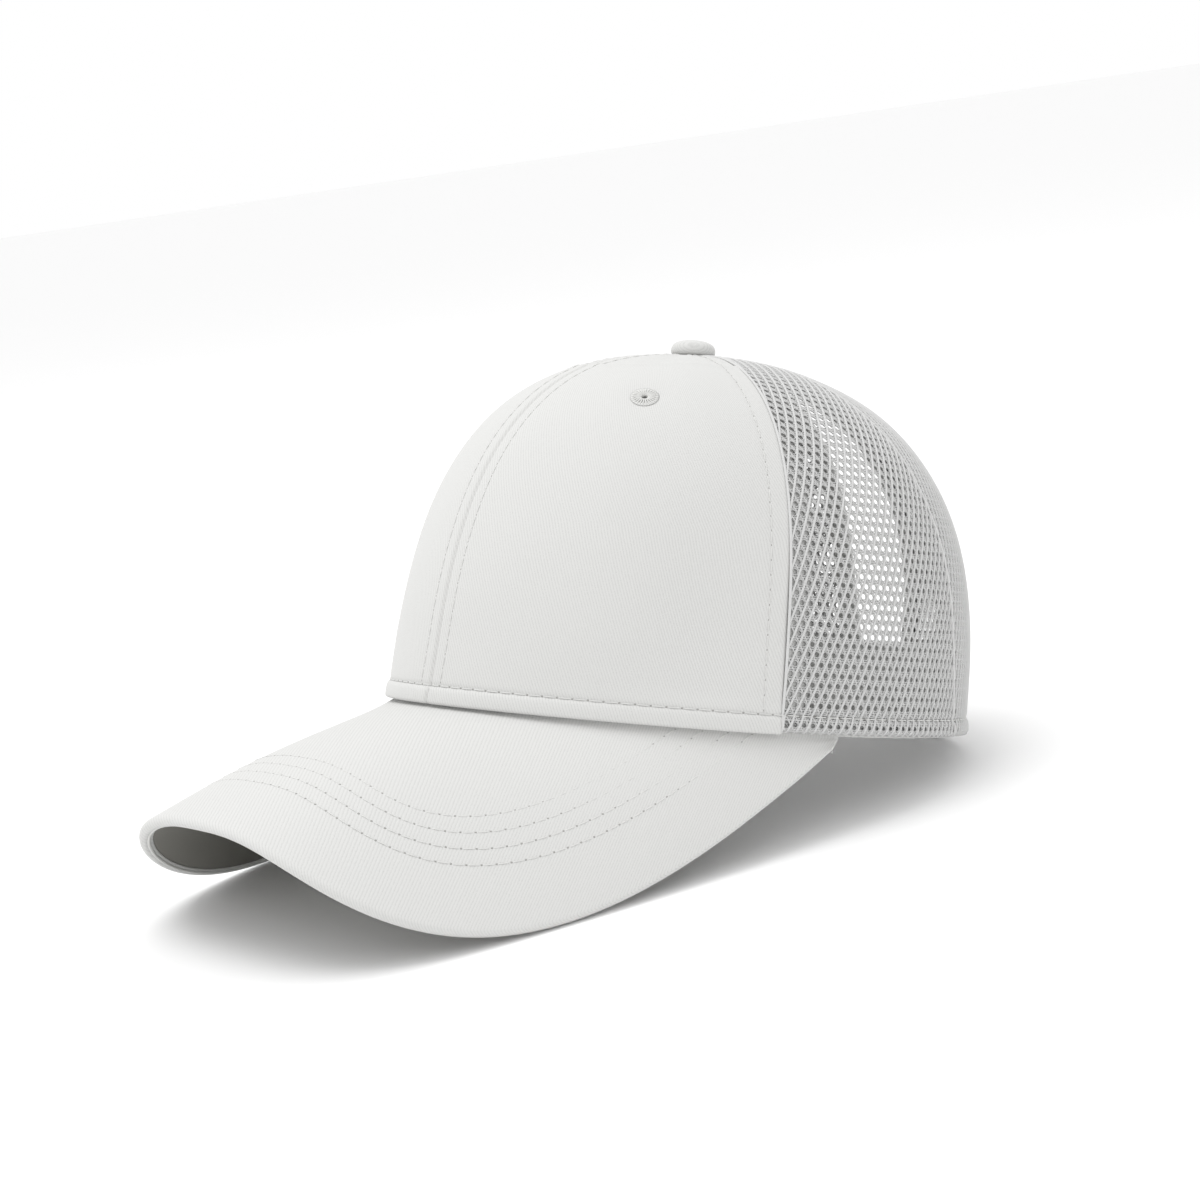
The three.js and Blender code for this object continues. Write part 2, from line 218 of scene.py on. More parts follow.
def crown_at(angle, turn, depth):
    """A point of the crown at an angle, turned up from the rim (0) to the apex (1)."""
    angle, turn, depth = np.broadcast_arrays(angle, turn, depth)
    bend = turn * math.pi / 2
    lean = around("lean", angle)
    climb = np.sin(bend) ** (2 / around("shoulder", angle))
    dome = np.maximum(np.cos(bend), 0) ** (2 / DOME_FULLNESS)
    reach = (1 - lean) * dome + lean * (1 - climb)
    rim = rim_point(angle, depth)
    height = mix(rim[..., 2], CROWN_HEIGHT - depth, climb)
    return np.stack([rim[..., 0] * reach, rim[..., 1] * reach, height], -1)


class Profiles:
    """The crown's upright profiles, followed by their length, in a table over the angles."""

    def __init__(self, angles=361, steps=801):
        self.angles = np.linspace(0, math.pi, angles)
        self.shares = np.linspace(0, 1, steps)
        turns = self.shares ** 2
        points = crown_at(self.angles[:, None], turns[None, :], 0)
        stretches = np.linalg.norm(np.diff(points, axis=1), axis=2)
        lengths = np.concatenate([np.zeros((angles, 1)), np.cumsum(stretches, axis=1)], axis=1)
        self.totals = lengths[:, -1]
        self.turns = np.array([np.interp(self.shares * row[-1], row, turns) for row in lengths])

    def total(self, angle):
        return np.interp(from_front(angle), self.angles, self.totals)

    def turn_at(self, angle, up):
        column = from_front(angle) / math.pi * (len(self.angles) - 1)
        row = np.clip(up / self.total(angle), 0, 1) * (len(self.shares) - 1)
        i = np.minimum(column.astype(int), len(self.angles) - 2)
        j = np.minimum(row.astype(int), len(self.shares) - 2)
        a, b = column - i, row - j
        low = mix(self.turns[i, j], self.turns[i, j + 1], b)
        high = mix(self.turns[i + 1, j], self.turns[i + 1, j + 1], b)
        return mix(low, high, a)


PROFILES = Profiles()


def crown(angle, up, depth=0.0):
    """A point of the crown at a length up the cloth, depth below its outer face."""
    angle, up = np.broadcast_arrays(np.asarray(angle, float), np.asarray(up, float))
    return crown_at(angle, PROFILES.turn_at(angle, up), depth)


def profile_end(angle):
    return PROFILES.total(angle) - TOP_HOLE_RADIUS


def crown_out(angle, up):
    """The crown's outward direction."""
    round_it = crown(angle + 0.01, up) - crown(angle - 0.01, up)
    up_it = crown(angle, up + 0.5) - crown(angle, up - 0.5)
    return unit(np.cross(round_it, up_it))


def girth(angle, up):
    """Millimetres round the crown for each radian."""
    return np.linalg.norm(crown(angle + 0.01, up) - crown(angle - 0.01, up), axis=-1) / 0.02


def front_seam(up):
    end = profile_end(FRONT_SEAM[0])
    return mix(*FRONT_SEAM, np.clip(up / end, 0, 1))


def back_seam(up):
    end = profile_end(BACK_SEAM[0])
    return mix(*BACK_SEAM, np.clip(up / end, 0, 1))


def distance_out(angle, up):
    return np.linalg.norm(crown(angle, up)[..., :2], axis=-1)


def opening_half_width(up):
    share = np.clip((up - OPENING_FOOT) / (OPENING_TOP - OPENING_FOOT), 0, 1)
    return OPENING_HALF_WIDTH * np.sin(math.pi * share ** OPENING_FULLEST_AT)


def beside_opening(outside, up):
    """Angle from the front to a line up beside the opening, this far outside its edge."""
    up = np.maximum(up, 0)
    out = distance_out(math.pi, up)
    most = BINDING_ANGLE_MAX + np.maximum(outside - BINDING_WIDTH, 0) / out
    across = (opening_half_width(up) + outside) / out
    return math.pi - np.minimum(np.arcsin(np.clip(across, -1, 1)), most)


# The visor's surface

CORNER = rim_point(np.array(VISOR_CORNER), 0)
TIP_Y = -(RIM_HALF_LENGTH + VISOR_REACH)


def visor_edge_height(x, y):
    forward = (CORNER[1] - y) / (CORNER[1] - TIP_Y)
    arch = mix(VISOR_ARCH_AT_CORNERS, VISOR_ARCH_AT_TIP, forward)
    return arch * (1 - (x / CORNER[0]) ** VISOR_ARCH_POWER) - VISOR_FALL * forward


def visor_edge_plan(steps=1601):
    """The visor's outer edge from its tip to its corner, as points in plan and height."""
    half_width = CORNER[0] + VISOR_SPREAD
    end_x = CORNER[0] / half_width
    depth = (CORNER[1] - TIP_Y) / (1 - (1 - end_x ** VISOR_SQUARENESS) ** (1 / VISOR_SQUARENESS))
    power = 2 / VISOR_SQUARENESS
    turn = np.linspace(0, math.asin(end_x ** (1 / power)), steps)
    x = half_width * np.sin(turn) ** power
    y = TIP_Y + depth * (1 - np.cos(turn) ** power)
    kept = y < CORNER[1] - VISOR_END_WIDTH
    x, y = x[kept], y[kept]
    return np.stack([x, y, visor_edge_height(x, y)], -1)


def by_plan_length(points):
    """A curve through points, from 0 to 1 by its length in plan."""
    lengths = np.concatenate([[0], np.cumsum(np.linalg.norm(np.diff(points[:, :2], axis=0), axis=1))])
    shares = lengths / lengths[-1]
    return lambda share: np.stack([np.interp(share, shares, points[:, i]) for i in range(3)], -1)


VISOR_EDGE = by_plan_length(visor_edge_plan())
VISOR_ROOT = by_plan_length(rim_point(np.linspace(0, VISOR_CORNER, 801), VISOR_ROOT_INSET))


def visor_top(across, out):
    """The visor's upper face: across from -1 to 1, out from the rim (0) to the edge (1)."""
    across, out = np.broadcast_arrays(np.asarray(across, float), np.asarray(out, float))
    share = np.abs(across)
    root = VISOR_ROOT(share) - [0, 0, GAP]
    points = mix(root, VISOR_EDGE(share), out[..., None])
    points[..., 2] += VISOR_CROWNING * np.cos(across * math.pi / 2) * np.sin(out * math.pi)
    points[..., 0] *= np.where(across < 0, -1, 1)
    return points


def visor_out(across, out):
    """The visor's upward direction, steadied near its edges."""
    step = 0.02
    u = np.clip(across, -VISOR_STEADY["across"], VISOR_STEADY["across"])
    v = np.clip(out, VISOR_STEADY["rootward"], VISOR_STEADY["edgeward"])
    sideways = visor_top(u + step, v) - visor_top(u - step, v)
    outward = visor_top(u, v + step) - visor_top(u, v - step)
    normal = unit(np.cross(outward, sideways))
    return np.where(normal[..., 2:] < 0, -normal, normal)


def visor(across, out, depth=0.0):
    depth = np.asarray(depth, float)
    return visor_top(across, out) - visor_out(across, out) * depth[..., None]


def visor_length(across):
    """Millimetres from the visor's root to its edge."""
    return np.linalg.norm(VISOR_EDGE(np.abs(across)) - VISOR_ROOT(np.abs(across)), axis=-1)


# Turning shapes into pieces

REST = Matrix.Translation(Vector(REST_AT)) @ Matrix.Rotation(-LEAN, 4, "X")
REST_TURN = np.array(REST.to_3x3())
REST_MOVE = np.array(REST_AT)


def at_rest(points):
    """Points of the upright cap, in millimetres, at rest on the floor, in metres."""
    return (np.asarray(points) @ REST_TURN.T + REST_MOVE) * MM


def piece(name, mesh, material, nodes=()):
    """A finished piece of the cap from its bmesh."""
    data = bpy.data.meshes.new(name)
    mesh.to_mesh(data)
    mesh.free()
    data.materials.append(material)
    made = bpy.data.objects.new(name, data)
    bpy.context.scene.collection.objects.link(made)
    for face in data.polygons:
        face.use_smooth = True
    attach(made, "root")
    if nodes:
        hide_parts(*nodes)
    return made


def cloth_sheet(columns, rows, place, behind, shows=lambda u, v: v > -1):
    """A sheet of faces; place(u, v) gives its points and their flat cloth coordinates.

    The part of it that shows faces away from the point behind it."""
    mesh = bmesh.new()
    cloth = mesh.loops.layers.uv.new("cloth")
    bmesh.ops.create_grid(mesh, x_segments=columns, y_segments=rows, size=1)
    at = (np.array([vert.co[:2] for vert in mesh.verts]) + 1) / 2
    points, flat = place(at[:, 0], at[:, 1])
    tested = [face for face in mesh.faces if shows(*((np.array(face.calc_center_median()[:2]) + 1) / 2))]
    for vert, point in zip(mesh.verts, at_rest(points)):
        vert.co = point
    for face in mesh.faces:
        for loop in face.loops:
            loop[cloth].uv = flat[loop.vert.index]
    mesh.normal_update()
    centre = Vector(at_rest(behind))
    if sum((face.calc_center_median() - centre).dot(face.normal) for face in tested) < 0:
        bmesh.ops.reverse_faces(mesh, faces=mesh.faces)
    return mesh


def thicken(made, thickness):
    """Gives a sheet its wall, inward from the face that shows."""
    wall = made.modifiers.new("wall", "SOLIDIFY")
    wall.thickness = thickness * MM
    wall.offset = -1
    return made


class Strands:
    """Closed strands of thread or yarn, gathered and then made together."""

    def __init__(self):
        self.tubes = {}

    def add(self, path, out, width, height, sides=6):
        """A strand along a path, width across it and height along its outward direction."""
        along = unit(np.gradient(path, axis=0))
        across = unit(np.cross(out, along))
        lift = np.cross(along, across)
        ends = np.r_[0, np.arange(len(path)), len(path) - 1]
        size = np.ones(len(ends))
        size[[0, -1]] = 0
        turn = np.linspace(2 * math.pi, 0, sides + 1)[:, None, None]
        ring = np.cos(turn) * across[ends] * width / 2 + np.sin(turn) * lift[ends] * height / 2
        self.tubes.setdefault(sides, []).append(path[ends] + size[:, None] * ring)

    def mesh(self):
        """Wraps one long grid into all the strands and parts it between them."""
        mesh = bmesh.new()
        for sides, tubes in self.tubes.items():
            points = np.concatenate(tubes, axis=1)
            columns = points.shape[1]
            last = set(np.cumsum([tube.shape[1] for tube in tubes]) - 1)
            made = bmesh.ops.create_grid(mesh, x_segments=columns - 1, y_segments=sides, size=1)["verts"]
            for vert in mesh.verts:
                vert.index = -1
            for i, vert in enumerate(made):
                vert.index = i
            for vert, point in zip(made, at_rest(points.reshape(-1, 3))):
                vert.co = point
            between = [face for face in mesh.faces if face.verts[0].index >= 0
                       and min(vert.index % columns for vert in face.verts) in last]
            bmesh.ops.delete(mesh, geom=between, context="FACES")
        bmesh.ops.remove_doubles(mesh, verts=mesh.verts, dist=1e-7)
        bmesh.ops.dissolve_degenerate(mesh, dist=1e-8, edges=mesh.edges)
        bmesh.ops.recalc_face_normals(mesh, faces=mesh.faces)
        return mesh


def along_path(path, out, distances):
    """Points of a path and its outward directions at distances along it."""
    lengths = np.concatenate([[0], np.cumsum(np.linalg.norm(np.diff(path, axis=0), axis=1))])
    points = np.stack([np.interp(distances, lengths, path[:, i]) for i in range(3)], -1)
    outs = np.stack([np.interp(distances, lengths, out[:, i]) for i in range(3)], -1)
    return points, unit(outs)


def path_length(path):
    return np.linalg.norm(np.diff(path, axis=0), axis=1).sum()


def sew(stitches, hole_shadows, path, out, pitch, rise=0.0):
    """A row of stitches along a path, with a needle hole between each two, marked by a small dark disc of
    painted shadow.
    """
    total = path_length(path)
    count = max(int(round(total / pitch)), 1)
    step = total / count
    for i in range(count):
        points, outs = along_path(path, out, (i + STITCH_AT) * step)
        stitches.add(points + outs * (STITCH_RISE + rise)[:, None], outs, THREAD_WIDTH, THREAD_HEIGHT, 5)
    points, outs = along_path(path, out, np.arange(count + 1) * step)
    ahead, _ = along_path(path, out, np.arange(count + 1) * step + 0.1)
    behind, _ = along_path(path, out, np.arange(count + 1) * step - 0.1)
    # Each needle hole gets a flat dark disc of painted shadow.
    for point, outward, along in zip(points, outs, unit(ahead - behind)):
        tips = np.array([-NEEDLE_HOLE_LENGTH / 2, NEEDLE_HOLE_LENGTH / 2])[:, None] * along
        path = point + tips - outward * 0.02
        hole_shadows.add(path, np.array([outward] * 2), NEEDLE_HOLE_WIDTH, NEEDLE_HOLE_HEIGHT)


# Materials: twill from a piece's flat cloth coordinates, in millimetres, and yarn from its places

class Look:
    """A procedural material, built up node by node."""

    def __init__(self, name, colour, roughness, sheen=0.0):
        self.material = bpy.data.materials.new(name)
        self.material.use_nodes = True
        self.nodes = self.material.node_tree.nodes
        self.links = self.material.node_tree.links
        self.shader = self.nodes["Principled BSDF"]
        self.shader.inputs["Base Color"].default_value = (*colour, 1)
        self.shader.inputs["Roughness"].default_value = roughness
        self.shader.inputs["Sheen Weight"].default_value = sheen
        self.shader.inputs["Sheen Roughness"].default_value = 0.5
        self.height = None

    def node(self, kind, **settings):
        made = self.nodes.new(kind)
        for name, value in settings.items():
            if hasattr(made, name):
                setattr(made, name, value)
            else:
                made.inputs[name].default_value = value
        return made

    def cloth(self, scale=(1, 1, 1), turn=0.0):
        """The piece's flat cloth coordinates, in millimetres."""
        at = self.node("ShaderNodeTexCoord")
        mapping = self.node("ShaderNodeMapping")
        mapping.inputs["Scale"].default_value = scale
        mapping.inputs["Rotation"].default_value = (0, 0, turn)
        self.links.new(at.outputs["UV"], mapping.inputs["Vector"])
        return mapping.outputs["Vector"]

    def in_place(self):
        """The piece's own places, in metres."""
        return self.node("ShaderNodeTexCoord").outputs["Object"]

    def noise(self, vector, scale, detail):
        made = self.node("ShaderNodeTexNoise", Scale=scale, Detail=detail)
        self.links.new(vector, made.inputs["Vector"])
        return made.outputs["Fac"]

    def ribs(self, vector, period):
        """Parallel ribs across the first axis of a vector, this many millimetres apart."""
        made = self.node("ShaderNodeTexWave", wave_profile="SIN")
        made.inputs["Scale"].default_value = 0.31416 / period
        made.inputs["Distortion"].default_value = 0.6
        made.inputs["Detail"].default_value = 1.0
        made.inputs["Detail Scale"].default_value = 1.5
        self.links.new(vector, made.inputs["Vector"])
        return made.outputs["Fac"]

    def raise_by(self, value, distance, strength):
        """Lets a value stand up from the surface, up to this many millimetres."""
        bump = self.node("ShaderNodeBump")
        bump.inputs["Strength"].default_value = strength
        bump.inputs["Distance"].default_value = distance * MM
        self.links.new(value, bump.inputs["Height"])
        if self.height is not None:
            self.links.new(self.height, bump.inputs["Normal"])
        self.height = bump.outputs["Normal"]
        self.links.new(self.height, self.shader.inputs["Normal"])

    def tint(self, value, dark, light, low, high):
        """Runs the colour from dark to light as a value goes from low to high."""
        ramp = self.node("ShaderNodeValToRGB")
        ramp.color_ramp.elements[0].position = low
        ramp.color_ramp.elements[0].color = (*dark, 1)
        ramp.color_ramp.elements[1].position = high
        ramp.color_ramp.elements[1].color = (*light, 1)
        self.links.new(value, ramp.inputs["Fac"])
        self.links.new(ramp.outputs["Color"], self.shader.inputs["Base Color"])


# The second white is the darker end of the twill's colour: painted shade between the ribs, mixed with
# random yarn tone.
WHITE = (0.64, 0.64, 0.628)
WHITE_GROOVE_SHADE_AND_TONE = (0.50, 0.50, 0.488)


def twill(name, turn, period, light=WHITE, dark=WHITE_GROOVE_SHADE_AND_TONE, rib=0.05):
    """Cotton twill: fine slanting ribs, made of short floats, with a little fuzz; its colour runs darker
    in the grooves between the ribs as painted shade, and varies at random with the yarn.
    """
    look = Look(name, light, 0.85, sheen=0.12)
    slanted = look.cloth(turn=turn)
    ribs = look.ribs(slanted, period)
    yarn = look.noise(look.cloth(), 2.6, 3.0)
    soft = look.noise(look.cloth(scale=(0.05, 0.05, 0.05)), 1.2, 2.0)
    blend = look.node("ShaderNodeMath", operation="MULTIPLY_ADD")
    look.links.new(ribs, blend.inputs[0])
    blend.inputs[1].default_value = 0.5
    look.links.new(yarn, blend.inputs[2])
    # Painted shade in the rib grooves, plus random yarn tone.
    look.tint(blend.outputs["Value"], dark, light, 0.2, 0.75)
    look.raise_by(ribs, rib, 0.6)
    look.raise_by(yarn, 0.06, 0.5)
    look.raise_by(soft, 0.6, 0.35)
    return look.material


def strand_cloth(name, colour):
    """Smooth, slightly shiny knitted yarn."""
    look = Look(name, colour, 0.6, sheen=0.1)
    look.raise_by(look.noise(look.in_place(), 2500.0, 2.0), 0.03, 0.3)
    return look.material


def plain(name, colour, roughness, grain=0.04):
    look = Look(name, colour, roughness, sheen=0.05)
    look.raise_by(look.noise(look.in_place(), 2500.0, 2.0), grain, 0.4)
    return look.material


CROWN_TWILL = twill("white crown twill", math.radians(-29), 0.98)
VISOR_TWILL = twill("white visor twill", math.radians(40), 1.25)
TAPE_TWILL = twill("white binding twill", math.radians(50), 1.35, rib=0.09)
BUTTON_TWILL = twill("white button twill", math.radians(40), 0.8)
SEAM_CLOTH = twill("white seam tape", math.radians(45), 0.8)
BAND_CLOTH = twill("white sweatband cloth", math.radians(40), 1.0)
NET_YARN = strand_cloth("white net yarn", (0.62, 0.62, 0.615))
THREAD = strand_cloth("white sewing thread", (0.66, 0.66, 0.645))
NEEDLE_HOLE_SHADOW = plain("needle hole shadow", (0.36, 0.355, 0.34), 0.9)
# The visor's underside is white twill; its dark grey colour here is painted shade.
PAINTED_SHADE_UNDERSIDE = plain("white visor underside darkened as painted shade", (0.20, 0.195, 0.175), 0.8)
PIPING = plain("white edge piping", (0.66, 0.66, 0.64), 0.7)


# The crown's cloth

def hem_swell(up):
    """How far the folded hem stands proud, with the pull of its stitch line above it."""
    roll = np.sqrt(np.clip(1 - ((up - 2.4) / 3.15) ** 2, 0, 1))
    return HEM_PROUD * roll - 0.28 * hump(up, HEM_STITCHES_UP, 0.8)


def folded(along):
    """Height and depth of hemmed cloth at a length from the rim's foot, negative inside."""
    radius = HEM_FOLD_RADIUS
    turn = np.clip((radius - along) / radius, 0, math.pi)
    inside = np.maximum(radius - math.pi * radius - along, 0)
    face = -hem_swell(np.maximum(along, radius))
    reach = (1.5 - face) / 2
    depth = face + np.where(along < radius, reach * (1 - np.cos(turn)), 0)
    up = np.where(along < radius, radius * (1 - np.sin(turn)) + inside, along)
    return up, depth


def ripple(angle, up):
    """The soft unevenness of sewn cloth, in millimetres inward."""
    slow = np.sin(angle * 5.1 + up * 0.031 + 0.7) * np.sin(up * 0.052 - angle * 2.3 + 1.9)
    quick = np.sin(angle * 11.3 - up * 0.047 + 0.4) * np.sin(up * 0.083 + angle * 3.7)
    return (0.28 * slow + 0.12 * quick) * smooth(6, 25, up) * smooth(168, 140, up)


def crease(angle, up):
    """The slight step across the front panels, where they grow softer towards the top."""
    past = PROFILES.turn_at(angle, up) - np.interp(np.abs(angle), CREASE_ANGLES, CREASE_TURNS)
    return 0.35 * smooth(-0.012, 0.012, past) - 0.25 * hump(past, -0.012, 0.012)


def front_depth(angle, up):
    """How the stiff cotton front lies, in millimetres inward of the plain crown."""
    hollow = 2.5 * hump(np.abs(angle), math.radians(61), 0.2) * hump(up, 32, 25) * smooth(4, 12, up)
    from_side = (front_seam(up) - np.abs(angle)) * girth(angle, up)
    side = 0.5 * hump(from_side, 0, 0.6) + 0.12 * hump(from_side, SIDE_TOPSTITCH, 0.8)
    from_centre = np.abs(angle) * girth(angle, up)
    centre = 0.75 * hump(from_centre, 0, 0.75) + 0.12 * hump(from_centre, CENTRE_TOPSTITCH, 0.8)
    from_eyelet = np.linalg.norm(crown(angle, up) - EYELET_POINT * side_of(angle), axis=-1)
    dimple = 0.5 * hump(from_eyelet, 0, 6.5)
    return ripple(angle, up) + crease(angle, up) + hollow + side + centre + dimple


def side_of(angle):
    """Mirrors a place to the side of the cap that an angle is on."""
    return np.stack([np.where(angle < 0, -1.0, 1.0)] + [np.ones_like(angle)] * 2, -1)


EYELET_POINT = crown(EYELET_ANGLE, EYELET_UP)
EYELET_OUT = crown_out(EYELET_ANGLE, EYELET_UP)


def front_place(side):
    """The cotton front panel of one side (1 right, -1 left), hem fold and all."""
    def place(u, v):
        ease = 0.5 - 0.5 * np.cos(math.pi * u)
        share = mix(u, ease, 0.75)
        at_hem = v < HEM_SHARE_OF_ROWS
        along = np.where(at_hem, mix(-HEM_TURN, HEM_TOP, v / HEM_SHARE_OF_ROWS), HEM_TOP)
        up, fold_depth = folded(along)
        rest = np.clip((v - HEM_SHARE_OF_ROWS) / (1 - HEM_SHARE_OF_ROWS), 0, 1)
        for _ in range(2):
            # The angle depends on the height and the other way round: the second pass settles both
            round_here = np.maximum(girth(0.4, up), 1)
            by_button = smooth(-20, -12, up - profile_end(front_seam(up)))
            past_seam = (0.04 + 0.7 * by_button) / round_here
            angle = mix(-0.04 / round_here, front_seam(up) + past_seam, share)
            up = np.where(at_hem, up, mix(HEM_TOP, profile_end(angle), rest))
        depth = np.where(at_hem, fold_depth, -hem_swell(up)) + front_depth(angle, up)
        flat = np.stack([side * angle * girth(angle, np.minimum(up, 60)), up], -1)
        return crown(side * angle, up, depth), flat
    return place


def cotton_front(side, name):
    mesh = cloth_sheet(110, 170, front_place(side), (0, 0, 40), lambda u, v: v > 0.3)
    hole = Vector(at_rest(EYELET_POINT * [side, 1, 1]))
    near = [face for face in mesh.faces if (face.calc_center_median() - hole).length < EYELET_CUT * MM]
    bmesh.ops.delete(mesh, geom=near, context="FACES")
    made = piece(f"{name}_front_twill", mesh, CROWN_TWILL, [f"front_panel_{name}"])
    return thicken(made, COTTON_WALL)


# The net

def side_middle(up):
    return (front_seam(up) + back_seam(up)) / 2


def back_middle(up):
    return (back_seam(up) + beside_opening(BINDING_WIDTH - 3, up)) / 2


def beside_seam(seam, up, gap):
    """Angle of a line beside a seam, this many millimetres behind it."""
    return seam(up) + gap / girth(seam(up), up)


def side_limits(up):
    return beside_seam(front_seam, up, 0.1), beside_seam(back_seam, up, -0.1)


def back_limits(up):
    return beside_seam(back_seam, up, 0.1), beside_opening(3.0, up)


def net_angle(middle, across, up):
    """The angle at a distance round from the middle line of a net."""
    centre = middle(up)
    return centre + across / np.maximum(girth(centre, up), NET_LEAST_GIRTH)


def net_runs(slope):
    """The strands of one family of the net as runs of (distance round, length up)."""
    if slope == 0:
        across = np.arange(-NET_REACH, NET_REACH, NET_PITCH / 2)
        for row in range(-NET_ROWS_TURNED_IN, int(NET_TALLEST / NET_ROW) + 1):
            yield across, np.full(len(across), (row + 0.5) * NET_ROW)
        return
    ups = np.arange(-NET_ROWS_TURNED_IN * NET_ROW, NET_TALLEST, NET_ROW / 2)
    lean = slope * NET_PITCH / 2 / NET_ROW
    count = int((NET_REACH + NET_TALLEST * abs(lean)) / NET_PITCH) + 1
    for i in range(-count, count + 1):
        yield i * NET_PITCH + ups * lean, ups


def clip_run(angle, along, low, high, most):
    """Parts of a run that lie on the panel, cut exactly at its edges."""
    inside = np.minimum(np.minimum(angle - low, high - angle), (most - along) * 0.02)
    points = np.stack([angle, along], -1)
    kept = [[]]
    for here, there, a, b in zip(points, points[1:], inside, inside[1:]):
        if a < 0 and b < 0:
            continue
        if a < 0 or b < 0:
            edge = mix(here, there, a / (a - b))
        if a < 0:
            kept.append([edge])
        elif not kept[-1]:
            kept[-1].append(here)
        if b < 0:
            kept[-1].append(edge)
            kept.append([])
        else:
            kept[-1].append(there)
    return [np.array(part) for part in kept if len(part) > 2]


def net_surface(angle, along, depth, sign):
    """A point of the net and its outward direction; negative lengths are folded inside."""
    up, fold = folded(along)
    up = np.maximum(up, 0) + 0.6 * smooth(4, 0, up)
    turned = np.clip((HEM_FOLD_RADIUS - along) / HEM_FOLD_RADIUS, 0, math.pi)
    facing = np.cos(turned)
    out = crown_out(sign * angle, np.maximum(up, 0.6))
    down = np.array([0.0, 0.0, -1.0])
    normal = unit(out * facing[:, None] + down * np.sin(turned)[:, None])
    sunk = fold + ripple(angle, np.maximum(up, 0)) * 0.8
    return crown(sign * angle, np.maximum(up, 0), sunk) - normal * depth, normal


def net_loops(yarn, sign, middle, limits):
    """The knitted loop that rounds each hole of the net."""
    rows = np.arange(-1, int(NET_TALLEST / NET_ROW))
    columns = np.arange(-int(NET_REACH / NET_PITCH), int(NET_REACH / NET_PITCH) + 1)
    row, column = (part.ravel() for part in np.meshgrid(rows, columns, indexing="ij"))
    along = row * NET_ROW
    across = (column + 0.5 + (row % 2) * 0.5) * NET_PITCH
    up = np.abs(along)
    angle = net_angle(middle, across, up)
    low, high = limits(up)
    room = np.minimum(angle - low, high - angle) * girth(angle, up)
    highest = profile_end(middle(up)) - NET_SHORT_OF_BUTTON["loop"]
    kept = (room > NET_LOOP_ROOM) & (along < highest)
    turns = np.linspace(0, 2 * math.pi, NET_LOOP["steps"] + 1)
    along = along[kept][:, None] + NET_LOOP["up"] * np.sin(turns)
    across = across[kept][:, None] + NET_LOOP["across"] * np.cos(turns)
    angle = net_angle(middle, across, np.abs(along))
    points, out = net_surface(angle.ravel(), along.ravel(), NET_LOOP["depth"], sign)
    shape = (-1, len(turns), 3)
    for path, outward in zip(points.reshape(shape), out.reshape(shape)):
        yarn.add(path, outward, NET_LOOP["width"], NET_LOOP["height"], NET_LOOP["sides"])


def net_strands(yarn, sign, middle, limits, family):
    """All strands of one family, cut at the edges of the panel."""
    for across, along in net_runs(family["slope"]):
        up = np.abs(along)
        angle = net_angle(middle, across, up)
        most = profile_end(middle(up)) - NET_SHORT_OF_BUTTON["strand"]
        for part in clip_run(angle, along, *limits(up), most):
            path, out = net_surface(part[:, 0], part[:, 1], family["depth"], sign)
            if path_length(path) > 1.0:
                yarn.add(path, out, family["width"], family["height"], family["sides"])


def net_panel(sign, name, middle, limits, node):
    yarn = Strands()
    net_loops(yarn, sign, middle, limits)
    for family in NET_STRANDS.values():
        net_strands(yarn, sign, middle, limits, family)
    for edge in (0, 1):
        along = np.arange(-6, 170, 2.0)
        angle = limits(np.abs(along))[edge]
        keep = along < profile_end(angle) - NET_SHORT_OF_BUTTON["strand"]
        path, out = net_surface(angle[keep], along[keep], NET_EDGE["depth"], sign)
        yarn.add(path, out, NET_EDGE["width"], NET_EDGE["height"])
    return piece(name, yarn.mesh(), NET_YARN, [node])


# Tapes, bindings and the sweatband

def tape_place(seam, sign):
    """A tape behind a seam of the crown, narrowed where the seams come together."""
    def place(u, v):
        middle = seam(v * SEAM_LENGTH_ABOUT)
        up = mix(SEAM_TAPE_FOOT, profile_end(middle) - SEAM_TAPE_SHORT_OF_TOP, v)
        middle = seam(up)
        out = distance_out(middle, up)
        half = np.minimum(np.arcsin(np.clip(SEAM_TAPE_WIDTH / 2 / out, 0, 1)), TAPE_HALF_ANGLE_MAX)
        half = half / np.maximum(girth(middle, up) / out, 0.5)
        across = u * 2 - 1
        angle = middle + across * half
        depth = SEAM_TAPE_DEPTH + 0.2 * np.abs(across) ** 3 + ripple(angle, up)
        return crown(sign * angle, up, depth), np.stack([across * SEAM_TAPE_WIDTH / 2, up], -1)
    return place


def seam_tape(sign, name, seam, node):
    mesh = cloth_sheet(14, 90, tape_place(seam, sign), (0, 0, 40))
    return thicken(piece(name, mesh, SEAM_CLOTH, [node]), SEAM_TAPE_CLOTH)


BINDING_SECTION = (
    # outside the opening's edge (mm), depth (mm)
    (7.9, 0.35), (7.7, -0.05), (7.3, -0.35), (6.6, -0.42), (5.6, -0.5), (4.0, -0.55), (2.4, -0.5),
    (1.4, -0.35), (0.7, 0.0), (0.3, 0.45), (0.15, 0.95), (0.35, 1.5), (0.9, 1.9), (1.8, 2.05),
    (3.5, 2.1), (5.5, 2.1), (7.6, 2.05),
)


